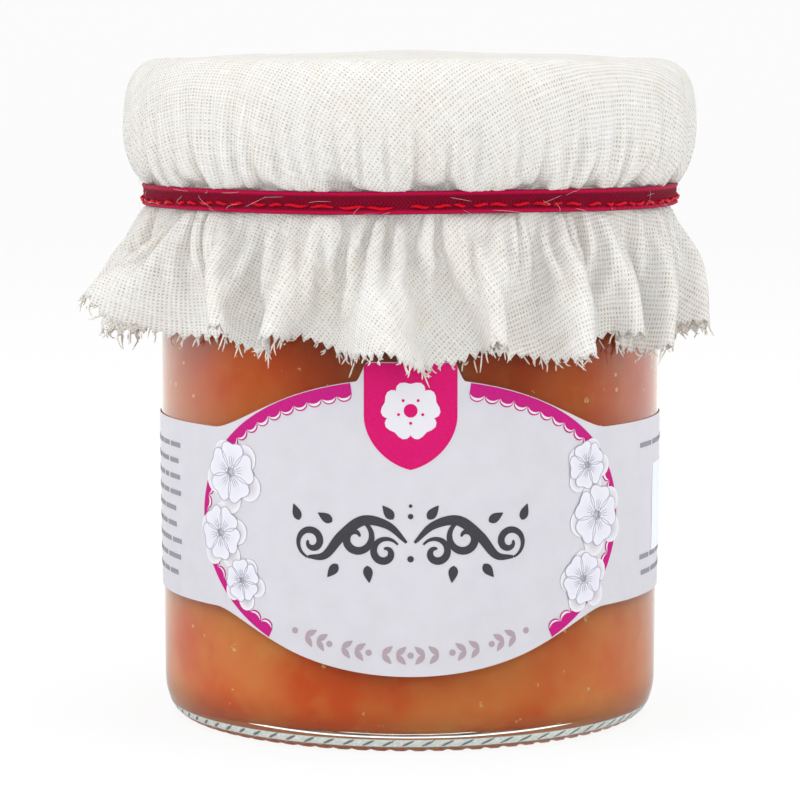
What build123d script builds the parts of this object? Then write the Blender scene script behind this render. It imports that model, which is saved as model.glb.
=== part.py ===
from build123d import *
import os
from math import cos, pi, sin, sqrt

# A glass jar of jam with a screwed lid, a paper label round its wall and a round of cloth
# over the lid, gathered under it by an elastic band. Millimetres. The jar stands on Z = 0
# with its axis on Z, and the middle of the label faces -Y.

# --- glass jar ---
body_radius = 40.3          # outside of the straight wall
foot_radius = 39.9          # outside just above the heel: the wall widens a little upwards
draft_top = 47.0            # height where the wall has reached body_radius
heel_reach = 3.4            # how far the heel curves in under the wall
heel_rise = 6.0             # height of the heel's curve
foot_width = 2.8            # width of the ring that the jar stands on
wall = 2.6                  # glass wall
floor_level = 3.2           # inside floor at its lowest, near the wall
floor_corner = 4.5          # inside radius between floor and wall
push_up = 2.2               # rise of the hollow under the jar, and of the floor above it
shoulder_height = 90.5      # top of the straight wall
shoulder_rise = 1.8         # height of the step from the wall in to the neck
neck_radius = 39.2          # outside of the neck
neck_wall = 2.7             # glass at the neck
thread_height = 97.4        # middle of the thread's bead
thread_proud = 1.1          # how far the thread stands out of the neck
thread_half = 1.1           # half the thread's height
jar_height = 103.6          # top of the glass rim
rim_round = 1.2             # rounding of the rim's two edges

# --- jam ---
jam_level = 89.0            # top of the jam

# --- lid ---
lid_radius = 42.6           # outside of the lid's skirt
lid_steel = 0.4             # lacquered sheet with its sealing layer
lid_rim_rise = 0.9          # top of the lid's raised rim over the glass rim
lid_corner = 2.5            # outside rounding of the lid's edge
lid_panel_drop = 0.6        # how far the middle panel lies under the raised rim
lid_panel_radius = 35.5     # edge of the middle panel
lid_panel_slope = 1.2       # width of the slope from panel to rim
lid_skirt = 9.4             # height of the lid in all
lid_curl = 0.8              # radius of the rolled lower edge

# --- label ---
label_paper = 0.2           # paper
label_glue = 0.1            # glue film between paper and glass
label_middle = 35.0         # height of the middle of the front oval
oval_half_width = 37.0      # measured round the wall
oval_half_height = 22.8
strip_low = 20.5            # band of the label that runs round the jar
strip_high = 48.5
strip_join = 5.0            # softness of the corners where oval and band meet
tab_half_width = 7.3        # small tab on top of the oval
tab_top = 60.1
tab_round = 2.0
label_gap = 8.0             # bare glass between the label's two ends, at the back

# --- cloth cover ---
cloth_skin = 0.8            # the cloth with the small creases it carries
cloth_over_lid = 0.3        # space between lid and cloth
flat_radius = 38.5          # the cloth lies flat on the lid out to here
drum_radius = 46.6          # widest part of the puffed cloth over the lid
drum_height = 95.5          # height of that widest part
drum_square = 2.9           # how square the cloth turns over the lid's edge
waist_clear = 0.6           # creased cloth between the glass and the inside of the waist
skirt_flare = 7.4           # how far the skirt stands out at its hem
skirt_lean = 1.6            # the skirt stands out more at -X than at +X
hem_level = 61.0            # mean height of the hem
hem_wave = 2.4              # slow rise and fall of the hem
hem_tilt = 2.6              # the hem hangs lower at +X than at -X
hem_tooth = 0.8             # half the height of the pinked teeth
flutes = 24                 # large folds round the skirt
flute_depth = 2.6           # half the depth of those folds at the hem
gather_depth = 0.2          # half the depth of the folds at the band
sectors = 144               # facets round the cloth
drum_rows = 5               # rows from the flat top down to the widest part
puff_rows = 3               # facets from the widest part down to the band
skirt_rows = 6              # facets from the band down to the hem

# --- elastic band ---
band_low = 82.4
band_height = 3.5
band_thick = 1.15
band_clear = 0.15           # space between the cloth's waist and the band
band_rim = 0.7              # height of the raised selvedge at each edge
band_dish = 0.25            # depth of the braid between the two selvedges

# --- sizes that follow from those above ---
inner_radius = body_radius - wall
mouth_radius = neck_radius - neck_wall
neck_start = shoulder_height + shoulder_rise
lid_top = jar_height + lid_rim_rise
waist_inner = body_radius + waist_clear
waist_outer = waist_inner + cloth_skin
band_inner = waist_outer + gather_depth + band_clear
band_outer = band_inner + band_thick
band_high = band_low + band_height
cloth_top = lid_top + cloth_over_lid + cloth_skin


def turned(edges):
    """Solid of revolution about Z from a closed half section drawn as (radius, height)."""
    return revolve(Plane.XZ * make_face(edges), Axis.Z)


def quarter_arc(start, corner, end):
    """Arc from start to end that is tangent to the two sides of the corner."""
    centre = (start[0] + end[0] - corner[0], start[1] + end[1] - corner[1])
    bend = 1 - sqrt(0.5)
    middle = (corner[0] + (centre[0] - corner[0]) * bend, corner[1] + (centre[1] - corner[1]) * bend)
    return ThreePointArc(start, middle, end)


def inside_edges():
    """Inside of the glass from the middle of the floor out and up to the shoulder."""
    floor_edge = inner_radius - floor_corner
    crown = ThreePointArc(
        (0, floor_level + push_up),
        (floor_edge * 0.5, floor_level + push_up * 0.75),
        (floor_edge, floor_level),
    )
    corner = quarter_arc(
        (floor_edge, floor_level), (inner_radius, floor_level), (inner_radius, floor_level + floor_corner)
    )
    return [crown, corner]


def glass_jar():
    """Straight jar with a curved heel, a hollow under its floor and a threaded neck."""
    foot_outer = foot_radius - heel_reach
    foot_inner = foot_outer - foot_width
    thread_low = thread_height - thread_half
    thread_high = thread_height + thread_half
    rim_outer = (neck_radius, jar_height)
    rim_inner = (mouth_radius, jar_height)
    edges = inside_edges()
    edges += Polyline(
        (inner_radius, floor_level + floor_corner),
        (inner_radius, shoulder_height),
        (mouth_radius, neck_start),
        (mouth_radius, jar_height - rim_round),
    ).edges()
    edges.append(
        quarter_arc((mouth_radius, jar_height - rim_round), rim_inner, (mouth_radius + rim_round, jar_height))
    )
    edges.append(Line((mouth_radius + rim_round, jar_height), (neck_radius - rim_round, jar_height)))
    edges.append(
        quarter_arc((neck_radius - rim_round, jar_height), rim_outer, (neck_radius, jar_height - rim_round))
    )
    edges.append(Line((neck_radius, jar_height - rim_round), (neck_radius, thread_high)))
    edges.append(
        ThreePointArc(
            (neck_radius, thread_high), (neck_radius + thread_proud, thread_height), (neck_radius, thread_low)
        )
    )
    edges += Polyline(
        (neck_radius, thread_low),
        (neck_radius, neck_start),
        (body_radius, shoulder_height),
        (body_radius, draft_top),
        (foot_radius, heel_rise),
    ).edges()
    edges.append(EllipticalCenterArc((foot_outer, heel_rise), heel_reach, heel_rise, 270, arc_size=90))
    edges.append(Line((foot_outer, 0), (foot_inner, 0)))
    edges.append(ThreePointArc((0, push_up), (foot_inner * 0.5, push_up * 0.75), (foot_inner, 0)))
    edges.append(Line((0, push_up), (0, floor_level + push_up)))
    return turned(edges)


def jam():
    """Jam that fills the glass up to its level."""
    edges = inside_edges()
    edges += Polyline(
        (inner_radius, floor_level + floor_corner),
        (inner_radius, jam_level),
        (0, jam_level),
        (0, floor_level + push_up),
    ).edges()
    return turned(edges)


def lid():
    """Pressed twist-off lid: sunk panel, raised rim that seals on the glass, rolled edge."""
    skirt_inner = lid_radius - lid_steel
    lid_bottom = lid_top - lid_skirt
    panel = lid_top - lid_panel_drop
    slope_end = lid_panel_radius + lid_panel_slope
    curl_height = lid_bottom + lid_curl
    inner_corner = lid_corner - lid_steel
    top_edges = Polyline(
        (0, panel), (lid_panel_radius, panel), (slope_end, lid_top), (lid_radius - lid_corner, lid_top)
    ).edges()
    outer_corner = quarter_arc(
        (lid_radius - lid_corner, lid_top), (lid_radius, lid_top), (lid_radius, lid_top - lid_corner)
    )
    outer_side = Line((lid_radius, lid_top - lid_corner), (lid_radius, curl_height))
    curl = ThreePointArc(
        (lid_radius, curl_height), (lid_radius - lid_curl, lid_bottom), (lid_radius - 2 * lid_curl, curl_height)
    )
    inner_side = Polyline(
        (lid_radius - 2 * lid_curl, curl_height),
        (skirt_inner, curl_height + lid_curl),
        (skirt_inner, jar_height - inner_corner),
    ).edges()
    inner_bend = quarter_arc(
        (skirt_inner, jar_height - inner_corner),
        (skirt_inner, jar_height),
        (skirt_inner - inner_corner, jar_height),
    )
    underside = Polyline(
        (skirt_inner - inner_corner, jar_height),
        (slope_end, jar_height),
        (lid_panel_radius, panel - lid_steel),
        (0, panel - lid_steel),
        (0, panel),
    ).edges()
    return turned([*top_edges, outer_corner, outer_side, curl, *inner_side, inner_bend, *underside])


def wall_radius(height):
    """Outside of the glass at a height on the lower, widening part or above it."""
    rise = min(max((height - heel_rise) / (draft_top - heel_rise), 0), 1)
    return foot_radius + (body_radius - foot_radius) * rise


def paper_ring(low, high):
    """Ring of paper on the wall between two heights."""
    inner = label_glue
    outer = label_glue + label_paper
    if high > draft_top > low:
        heights = [low, draft_top, high]
    else:
        heights = [low, high]
    inside = [(wall_radius(h) + inner, h) for h in heights]
    outside = [(wall_radius(h) + outer, h) for h in reversed(heights)]
    return turned(Polyline(*inside, *outside, close=True).edges())


def oval_height(along):
    """Half height of the front shape at a distance round the wall: oval run into the band."""
    inside = max(1 - (along / oval_half_width) ** 2, 0)
    oval = oval_half_height * sqrt(inside)
    band = (strip_high - strip_low) / 2
    blend = max(strip_join - abs(oval - band), 0) / strip_join
    return max(oval, band) + blend**2 * strip_join / 4


def front_panel():
    """Upright prism that cuts the front oval and its tab out of the paper ring."""
    steps = 40
    reach = oval_half_width + strip_join
    spread = [reach * k / steps for k in range(-steps, steps + 1)]
    across = [body_radius * sin(s / body_radius) for s in spread]
    upper = [(x, label_middle + oval_height(s)) for x, s in zip(across, spread)]
    lower = [(x, label_middle - oval_height(s)) for x, s in zip(across, spread)]
    outline = Polyline(*upper, *reversed(lower), close=True).edges()
    tab_low = label_middle
    tab = Pos(0, (tab_top + tab_low) / 2) * RectangleRounded(2 * tab_half_width, tab_top - tab_low, tab_round)
    shape = make_face(outline) + tab
    return extrude(Plane.XZ * shape, amount=2 * body_radius)


def label():
    """Paper label: a band round the jar with an oval front and a tab on top."""
    front = paper_ring(label_middle - oval_half_height - strip_join, tab_top + strip_join) & front_panel()
    gap = Pos(0, body_radius, label_middle) * Box(label_gap, 2 * wall, 4 * oval_half_height)
    return front + (paper_ring(strip_low, strip_high) - gap)


def cloth_row(outer, row):
    """Radius, height and fold depth of one row of the cloth before the folds."""
    skin = 0 if outer else cloth_skin
    if row < drum_rows:
        # over the lid's edge: a squared quarter round from flat top to widest part
        turn = row / (drum_rows - 1) * pi / 2
        power = 2 / drum_square
        radius = flat_radius + (drum_radius - skin - flat_radius) * sin(turn) ** power
        height = drum_height + (cloth_top - skin - drum_height) * max(cos(turn), 0) ** power
        return radius, height, gather_depth * row / drum_rows
    row -= drum_rows - 1
    if row <= puff_rows:
        # the puffed side draws in to the band
        fall = row / puff_rows
        radius = drum_radius + (waist_outer - drum_radius) * (1 - cos(fall * pi / 2))
        return radius - skin, drum_height + (band_high - drum_height) * sin(fall * pi / 2), gather_depth
    row -= puff_rows
    # held flat under the band, then falling away as a skirt
    fall = (row - 1) / (skirt_rows - 1)
    return waist_outer - skin + skirt_flare * sin(fall * pi / 2), fall, gather_depth + flute_depth * fall


def fold_wave(angle, fall):
    """Uneven folds, between -1 and 1: crowded in places and wide in others."""
    drift = 0.8 * sin(2 * angle + 0.6) + 0.5 * sin(3 * angle + 2.1)
    large = cos(flutes * angle + drift)
    small = cos((flutes - 7) * angle + 1.3 - drift)
    return 0.7 * large + 0.3 * small * fall


def hem_height(angle, sector):
    """Height of the hem: slow waves and the teeth left by pinking shears."""
    slow = 0.6 * sin(5 * angle + 0.4) + 0.4 * sin(8 * angle + 2.0)
    tooth = hem_tooth if sector % 2 else -hem_tooth
    return hem_level + hem_wave * slow - hem_tilt * cos(angle) + tooth


def cloth_ring(outer, row):
    """Points of one row of the cloth all the way round."""
    points = []
    for sector in range(sectors):
        angle = 2 * pi * sector / sectors
        radius, height, depth = cloth_row(outer, row)
        fall = 0
        if row >= drum_rows + puff_rows:
            fall = height
            height = band_low + (hem_height(angle, sector) - band_low) * fall
        radius += depth * fold_wave(angle, fall) - skirt_lean * cos(angle) * fall
        points.append(Vector(radius * cos(angle), radius * sin(angle), height))
    return points


def facet(a, b, c):
    return Face(Wire.make_polygon([a, b, c], close=True))


def cloth_cover():
    """Round of cloth over the lid, as one closed faceted skin from outside to inside."""
    rows = range(drum_rows + puff_rows + skirt_rows)
    rings = [cloth_ring(True, row) for row in rows] + [cloth_ring(False, row) for row in reversed(rows)]
    outer_apex = Vector(0, 0, cloth_top)
    inner_apex = Vector(0, 0, cloth_top - cloth_skin)
    faces = []
    for k in range(sectors):
        n = (k + 1) % sectors
        faces.append(facet(outer_apex, rings[0][k], rings[0][n]))
        faces.append(facet(inner_apex, rings[-1][n], rings[-1][k]))
        for upper, lower in zip(rings, rings[1:]):
            faces.append(facet(upper[k], lower[k], upper[n]))
            faces.append(facet(upper[n], lower[k], lower[n]))
    return Solid(Shell(faces))


def elastic_band():
    """Flat elastic with a raised selvedge at each edge and the braid dished between."""
    braid = band_outer - band_dish
    section = Polyline(
        (band_inner, band_low),
        (band_outer, band_low),
        (band_outer, band_low + band_rim),
        (braid, band_low + band_rim + band_dish),
        (braid, band_high - band_rim - band_dish),
        (band_outer, band_high - band_rim),
        (band_outer, band_high),
        (band_inner, band_high),
        close=True,
    )
    return turned(section.edges())


os.makedirs("parts", exist_ok=True)
pieces = {
    "glass_jar": glass_jar,
    "jam": jam,
    "lid": lid,
    "label": label,
    "cloth_cover": cloth_cover,
    "elastic_band": elastic_band,
}

for name, make in pieces.items():
    export_step(make(), f"parts/{name}.step")
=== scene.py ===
import math

import bmesh
import bpy
import numpy as np
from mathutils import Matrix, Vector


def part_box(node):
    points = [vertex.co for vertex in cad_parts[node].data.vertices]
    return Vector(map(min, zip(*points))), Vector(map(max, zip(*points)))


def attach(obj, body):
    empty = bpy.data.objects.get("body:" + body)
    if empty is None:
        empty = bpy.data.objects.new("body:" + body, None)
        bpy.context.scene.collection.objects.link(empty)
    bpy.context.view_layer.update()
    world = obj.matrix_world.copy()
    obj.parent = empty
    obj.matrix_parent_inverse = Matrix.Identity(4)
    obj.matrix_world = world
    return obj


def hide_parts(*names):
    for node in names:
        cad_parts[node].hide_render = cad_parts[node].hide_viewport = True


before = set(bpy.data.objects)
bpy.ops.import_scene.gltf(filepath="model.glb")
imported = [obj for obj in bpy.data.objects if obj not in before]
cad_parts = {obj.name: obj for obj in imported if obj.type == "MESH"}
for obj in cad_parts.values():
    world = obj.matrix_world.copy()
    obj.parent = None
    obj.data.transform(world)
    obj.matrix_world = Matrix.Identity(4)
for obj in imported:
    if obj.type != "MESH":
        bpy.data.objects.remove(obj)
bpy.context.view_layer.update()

# A jar of apricot jam: clear glass, a paper label, and a round of muslin tied over the lid
# with braided elastic. All sizes here are millimetres, and mesh points become metres at the
# end. Angles round the jar are measured from the middle of the label, which faces -Y, and
# grow towards +X. A distance round the wall is that angle times body_radius.

MM = 0.001
rng = np.random.default_rng(11)


def corners(node):
    low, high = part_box(node)
    return np.array(low) / MM, np.array(high) / MM


# --- sizes that the frame gives ---
body_radius = corners("glass_jar")[1][0]
jar_height = corners("glass_jar")[1][2]
lid_radius = corners("lid")[1][0]
lid_bottom = corners("lid")[0][2]
lid_top = corners("lid")[1][2]
band_low = corners("elastic_band")[0][2]
band_high = corners("elastic_band")[1][2]
band_outer = corners("elastic_band")[1][0]
jam_level = corners("jam")[1][2]

# --- glass ---
wall_draft = 0.4            # the wall widens by this from heel to draft_top
draft_top = 47.0
heel_reach = 3.4
heel_rise = 6.0
foot_width = 2.8
wall = 2.6
floor_level = 3.2
floor_corner = 4.5
push_up = 2.2
shoulder_height = jar_height - 13.1
shoulder_rise = 1.8
neck_radius = body_radius - 1.1
neck_wall = 2.7
rim_round = 1.2
foot_radius = body_radius - wall_draft
inner_radius = body_radius - wall

# --- label ---
paper_lift = 0.1
paper_thick = 0.12
label_middle = 35.0
oval_half_width = 37.0
oval_half_height = 22.8
strip_low = 20.5
strip_high = 48.5
strip_join = 5.0
tab_half_width = 7.3
tab_rise = 2.4
label_end = math.pi * body_radius - 4.0

# --- cloth ---
cloth_thick = 0.26
warp_pitch = 0.70           # spacing of the yarns one way and the other
weft_pitch = 0.52
disc_radius = 88.5          # cut size of the round, before pinking
flat_radius = 38.5
drum_radius = 45.8
drum_height = lid_top - 9.0


# ---------------------------------------------------------------- materials

def linear(code, alpha=1.0):
    """sRGB hex to the linear colour that a shader takes."""
    parts = [int(code[k:k + 2], 16) / 255 for k in (1, 3, 5)]
    return [p / 12.92 if p <= 0.04045 else ((p + 0.055) / 1.055) ** 2.4 for p in parts] + [alpha]


def add(tree, kind, links=None, **settings):
    """Adds a node. settings are its own options, links its sockets' values or sources."""
    made = tree.nodes.new(kind)
    for key, value in settings.items():
        setattr(made, key, value)
    for socket, value in (links or {}).items():
        if isinstance(value, bpy.types.NodeSocket):
            tree.links.new(value, made.inputs[socket])
        else:
            made.inputs[socket].default_value = value
    return made


def material(name):
    made = bpy.data.materials.new(name)
    made.use_nodes = True
    made.node_tree.nodes.clear()
    return made, made.node_tree


def finish_material(tree, shader):
    add(tree, "ShaderNodeOutputMaterial", {"Surface": shader})


def maths(tree, operation, a, b=0.0, c=0.0, clamp=False):
    return add(tree, "ShaderNodeMath", {0: a, 1: b, 2: c}, operation=operation, use_clamp=clamp).outputs[0]


def blend(tree, factor, low, high):
    """Colour between two colours or colour sources."""
    made = add(tree, "ShaderNodeMix", {"Factor": factor}, data_type="RGBA")
    for socket, value in ((6, low), (7, high)):
        if isinstance(value, bpy.types.NodeSocket):
            tree.links.new(value, made.inputs[socket])
        else:
            made.inputs[socket].default_value = value
    return made.outputs[2]


def step_up(tree, value, start, end):
    """0 below start, 1 above end, smooth between."""
    made = add(
        tree, "ShaderNodeMapRange", {"Value": value, "From Min": start, "From Max": end},
        interpolation_type="SMOOTHSTEP",
    )
    return made.outputs["Result"]


def noise(tree, vector, per_mm, detail=3.0, roughness=0.5):
    made = add(
        tree, "ShaderNodeTexNoise",
        {"Vector": vector, "Scale": per_mm, "Detail": detail, "Roughness": roughness},
    )
    return made.outputs["Fac"]


def in_mm(tree):
    """The piece's own coordinates in millimetres."""
    place = add(tree, "ShaderNodeTexCoord").outputs["Object"]
    return add(tree, "ShaderNodeVectorMath", {0: place, "Scale": 1 / MM}, operation="SCALE").outputs[0]


def flint_glass():
    """Soda-lime flint glass, blown in a mould: clear, faintly green in thick places, mirror smooth."""
    made, tree = material("flint_glass")
    waves = noise(tree, in_mm(tree), 0.06, 1.0)
    bump = add(tree, "ShaderNodeBump", {"Height": waves, "Strength": 0.1, "Distance": 0.0008})
    glass = add(
        tree, "ShaderNodeBsdfGlass",
        {"Color": linear("#F4FAF7"), "Roughness": 0.0, "IOR": 1.52, "Normal": bump.outputs[0]},
    )
    clear = add(tree, "ShaderNodeBsdfTransparent", {"Color": linear("#F2F8F5")})
    lamp = add(tree, "ShaderNodeLightPath").outputs["Is Shadow Ray"]
    shader = add(tree, "ShaderNodeMixShader", {0: lamp, 1: glass.outputs[0], 2: clear.outputs[0]})
    finish_material(tree, shader.outputs[0])
    return made


def apricot_jam():
    """Cooked apricot set with pectin: a wet amber gel, cloudy with pulp, with pale fibres and skins."""
    made, tree = material("apricot_jam")
    place = in_mm(tree)
    broad = noise(tree, place, 0.055, 3.0)
    cloud = noise(tree, place, 0.16, 4.0, 0.6)
    fine = noise(tree, place, 0.9, 3.0, 0.6)
    colour = blend(tree, step_up(tree, broad, 0.35, 0.65), linear("#E85C12"), linear("#F08A42"))
    colour = blend(tree, maths(tree, "MULTIPLY", step_up(tree, cloud, 0.5, 0.8), 0.4), colour, linear("#F8A654"))
    colour = blend(tree, maths(tree, "MULTIPLY", step_up(tree, cloud, 0.45, 0.2), 0.3), colour, linear("#D04C14"))
    # painted shade: deeper and redder towards the top
    level = add(tree, "ShaderNodeSeparateXYZ", {0: place}).outputs[2]
    deep = maths(tree, "MULTIPLY", step_up(tree, level, 22.0, 66.0), 0.5)
    colour = blend(tree, deep, colour, linear("#CE4414"))
    speck = add(tree, "ShaderNodeTexVoronoi", {"Vector": place, "Scale": 0.34, "Randomness": 1.0})
    size = maths(tree, "MULTIPLY", speck.outputs["Color"], 0.22)
    is_speck = maths(tree, "LESS_THAN", speck.outputs["Distance"], size)
    few = maths(tree, "GREATER_THAN", fine, 0.52)
    mask = maths(tree, "MULTIPLY", is_speck, few)
    colour = blend(tree, maths(tree, "MULTIPLY", mask, 0.8), colour, linear("#FCD48A"))
    gel = add(
        tree, "ShaderNodeBsdfPrincipled",
        {
            "Base Color": colour, "Roughness": 0.35, "IOR": 1.4, "Specular IOR Level": 0.05,
            "Subsurface Weight": 0.8, "Subsurface Radius": (1.0, 0.4, 0.15), "Subsurface Scale": 0.01,
        },
    )
    finish_material(tree, gel.outputs[0])
    return made


def label_paper():
    """Coated label paper, offset printed: cool white, smooth with a slight satin gloss."""
    made, tree = material("label_paper")
    place = in_mm(tree)
    fibre = noise(tree, place, 2.4, 4.0, 0.65)
    cloud = noise(tree, place, 0.25, 2.0)
    tone = maths(tree, "MULTIPLY_ADD", fibre, 0.3, maths(tree, "MULTIPLY", cloud, 0.7))
    colour = blend(tree, tone, linear("#BFBEC5"), linear("#CDCCD3"))
    bump = add(tree, "ShaderNodeBump", {"Height": fibre, "Strength": 0.08, "Distance": 0.0002})
    paper = add(
        tree, "ShaderNodeBsdfPrincipled",
        {"Base Color": colour, "Roughness": 0.5, "IOR": 1.45, "Normal": bump.outputs[0]},
    )
    finish_material(tree, paper.outputs[0])
    return made


def printing_ink(name, deep, pale=None):
    """Offset ink on coated paper: even, satin, with the paper's grain faintly in it.
    fade runs from 0, the deep colour, to 1, the pale one."""
    made, tree = material(name)
    grain = noise(tree, in_mm(tree), 3.0, 3.0)
    fade = add(tree, "ShaderNodeAttribute", attribute_name="fade").outputs["Fac"]
    colour = blend(tree, fade, linear(deep), linear(pale or deep))
    colour = blend(tree, maths(tree, "MULTIPLY", grain, 0.02), colour, linear("#FFFFFF"))
    ink = add(
        tree, "ShaderNodeBsdfPrincipled",
        {"Base Color": colour, "Roughness": 0.6, "IOR": 1.48, "Specular IOR Level": 0.04},
    )
    finish_material(tree, ink.outputs[0])
    return made


def gold_lacquer():
    """Tinplate under gold lacquer: warm metal with a soft gloss and a fine rolled grain."""
    made, tree = material("gold_lacquered_tinplate")
    grain = noise(tree, in_mm(tree), 1.8, 2.0)
    colour = blend(tree, grain, linear("#B8925A"), linear("#C9A56B"))
    tin = add(
        tree, "ShaderNodeBsdfPrincipled",
        {"Base Color": colour, "Metallic": 0.6, "Roughness": 0.45, "Coat Weight": 0.3, "Coat Roughness": 0.2},
    )
    finish_material(tree, tin.outputs[0])
    return made


def muslin():
    """Unbleached plain-weave cotton muslin: soft matt yarns with small square holes between,
    uneven slubs and a creamy cast, with painted shade in the valleys between the yarns and in the holes. Yarns lie
    warp_pitch and weft_pitch apart."""
    made, tree = material("cotton_muslin")
    flat = add(tree, "ShaderNodeUVMap", uv_map="flat_cloth").outputs[0]
    drift = add(tree, "ShaderNodeTexNoise", {"Vector": flat, "Scale": 18.0, "Detail": 2.0})
    shift = add(
        tree, "ShaderNodeVectorMath", {0: drift.outputs["Color"], 1: (0.5, 0.5, 0.5)}, operation="SUBTRACT"
    ).outputs[0]
    shift = add(tree, "ShaderNodeVectorMath", {0: shift, "Scale": 0.006}, operation="SCALE").outputs[0]
    laid = add(tree, "ShaderNodeVectorMath", {0: flat, 1: shift}, operation="ADD").outputs[0]
    per_yarn = (100 / warp_pitch, 100 / weft_pitch, 1.0)
    count = add(tree, "ShaderNodeVectorMath", {0: laid, 1: per_yarn}, operation="MULTIPLY").outputs[0]
    axes = add(tree, "ShaderNodeSeparateXYZ", {0: count})
    warp, weft = axes.outputs[0], axes.outputs[1]
    off_warp = maths(tree, "PINGPONG", warp, 0.5)
    off_weft = maths(tree, "PINGPONG", weft, 0.5)
    # a yarn's width changes along its own length: slubs
    along_warp = add(tree, "ShaderNodeMapping", {"Vector": count, "Scale": (1.0, 0.06, 1.0)}).outputs[0]
    along_weft = add(tree, "ShaderNodeMapping", {"Vector": count, "Scale": (0.06, 1.0, 1.0)}).outputs[0]
    slub_warp = noise(tree, along_warp, 1.3, 1.0)
    slub_weft = noise(tree, along_weft, 1.3, 1.0)
    # and each yarn has its own thickness
    own_warp = add(tree, "ShaderNodeTexWhiteNoise", {"W": maths(tree, "ROUND", warp)}, noise_dimensions="1D")
    own_weft = add(tree, "ShaderNodeTexWhiteNoise", {"W": maths(tree, "ROUND", weft)}, noise_dimensions="1D")
    half_warp = maths(tree, "MULTIPLY_ADD", slub_warp, 0.26, 0.09)
    half_weft = maths(tree, "MULTIPLY_ADD", slub_weft, 0.26, 0.09)
    half_warp = maths(tree, "MULTIPLY_ADD", own_warp.outputs[0], 0.14, half_warp)
    half_weft = maths(tree, "MULTIPLY_ADD", own_weft.outputs[0], 0.14, half_weft)
    open_warp = step_up(tree, maths(tree, "SUBTRACT", off_warp, half_warp), -0.1, 0.12)
    open_weft = step_up(tree, maths(tree, "SUBTRACT", off_weft, half_weft), -0.1, 0.12)
    cell = add(tree, "ShaderNodeVectorMath", {0: count}, operation="FLOOR").outputs[0]
    clear = add(tree, "ShaderNodeTexWhiteNoise", {"Vector": cell}, noise_dimensions="2D").outputs[0]
    hole_and_painted_gap = maths(tree, "MULTIPLY", open_warp, open_weft)
    hole_and_painted_gap = maths(tree, "MULTIPLY", hole_and_painted_gap, maths(tree, "MULTIPLY_ADD", clear, 0.6, 0.4))
    over = maths(
        tree, "MULTIPLY",
        maths(tree, "COSINE", maths(tree, "MULTIPLY", warp, math.pi)),
        maths(tree, "COSINE", maths(tree, "MULTIPLY", weft, math.pi)),
    )
    rise_warp = maths(tree, "MULTIPLY_ADD", over, 0.2, maths(tree, "SUBTRACT", 0.6, off_warp))
    rise_weft = maths(tree, "MULTIPLY_ADD", over, -0.2, maths(tree, "SUBTRACT", 0.6, off_weft))
    rise = maths(tree, "MAXIMUM", rise_warp, rise_weft)
    fluff = noise(tree, count, 2.2, 3.0, 0.7)
    height = maths(tree, "MULTIPLY_ADD", fluff, 0.25, rise)
    bump = add(tree, "ShaderNodeBump", {"Height": height, "Strength": 0.7, "Distance": 0.0003})
    cast = noise(tree, flat, 9.0, 3.0, 0.6)
    slub = maths(tree, "MULTIPLY", maths(tree, "ADD", slub_warp, slub_weft), 0.5)
    colour = blend(tree, step_up(tree, cast, 0.35, 0.7), linear("#F0F1F0"), linear("#F0EEE9"))
    colour = blend(tree, step_up(tree, slub, 0.5, 0.72), colour, linear("#FAFAF8"))
    # painted shade: the yarns darken in the valleys between them
    valley_shade = step_up(tree, height, 0.62, 0.3)
    colour = blend(tree, maths(tree, "MULTIPLY", valley_shade, 0.12), colour, linear("#D6CCBE"))
    # painted shade: the holes are coloured beige for the lid, jam and shade seen through them; only a small part of
    # each hole is see-through
    colour = blend(tree, hole_and_painted_gap, colour, linear("#CDBA9F"))
    matt = add(
        tree, "ShaderNodeBsdfPrincipled",
        {
            "Base Color": colour, "Roughness": 0.95, "Specular IOR Level": 0.2, "Sheen Weight": 0.15,
            "Sheen Roughness": 0.5, "Normal": bump.outputs[0],
        },
    )
    through = add(tree, "ShaderNodeBsdfTranslucent", {"Color": colour})
    cloth = add(tree, "ShaderNodeMixShader", {0: 0.2, 1: matt.outputs[0], 2: through.outputs[0]})
    gap = add(tree, "ShaderNodeBsdfTransparent", {"Color": (1, 1, 1, 1)})
    shader = add(
        tree, "ShaderNodeMixShader",
        {0: maths(tree, "MULTIPLY", hole_and_painted_gap, 0.14), 1: cloth.outputs[0], 2: gap.outputs[0]},
    )
    finish_material(tree, shader.outputs[0])
    return made


def cotton_yarn():
    """Single cotton threads pulled out of the muslin: matt, creamy, slightly see-through."""
    made, tree = material("frayed_cotton")
    tone = noise(tree, in_mm(tree), 0.6, 2.0)
    colour = blend(tree, tone, linear("#EFE9DC"), linear("#F7F4EE"))
    yarn = add(tree, "ShaderNodeBsdfPrincipled", {"Base Color": colour, "Roughness": 0.9, "Sheen Weight": 0.3})
    through = add(tree, "ShaderNodeBsdfTranslucent", {"Color": colour})
    shader = add(tree, "ShaderNodeMixShader", {0: 0.3, 1: yarn.outputs[0], 2: through.outputs[0]})
    finish_material(tree, shader.outputs[0])
    return made


def braided_elastic():
    """Crimson viscose braided over rubber, with painted shade: dark in the dished braid, crimson on the raised rims.
    fade is 0 in the dish and 1 on the rims."""
    made, tree = material("braided_elastic")
    fade = add(tree, "ShaderNodeAttribute", attribute_name="fade").outputs["Fac"]
    place = in_mm(tree)
    fibre = noise(tree, place, 4.0, 3.0, 0.7)
    # painted shade: near black in the dish, crimson on the rims
    colour = blend(tree, fade, linear("#50000F"), linear("#AE063E"))
    colour = blend(tree, maths(tree, "MULTIPLY", fibre, 0.15), colour, linear("#B01040"))
    bump = add(tree, "ShaderNodeBump", {"Height": fibre, "Strength": 0.35, "Distance": 0.0002})
    yarn = add(
        tree, "ShaderNodeBsdfPrincipled",
        {
            "Base Color": colour, "Roughness": 0.7, "Specular IOR Level": 0.08, "Sheen Weight": 0.12,
            "Sheen Roughness": 0.3,
            "Normal": bump.outputs[0],
        },
    )
    finish_material(tree, yarn.outputs[0])
    return made


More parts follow.
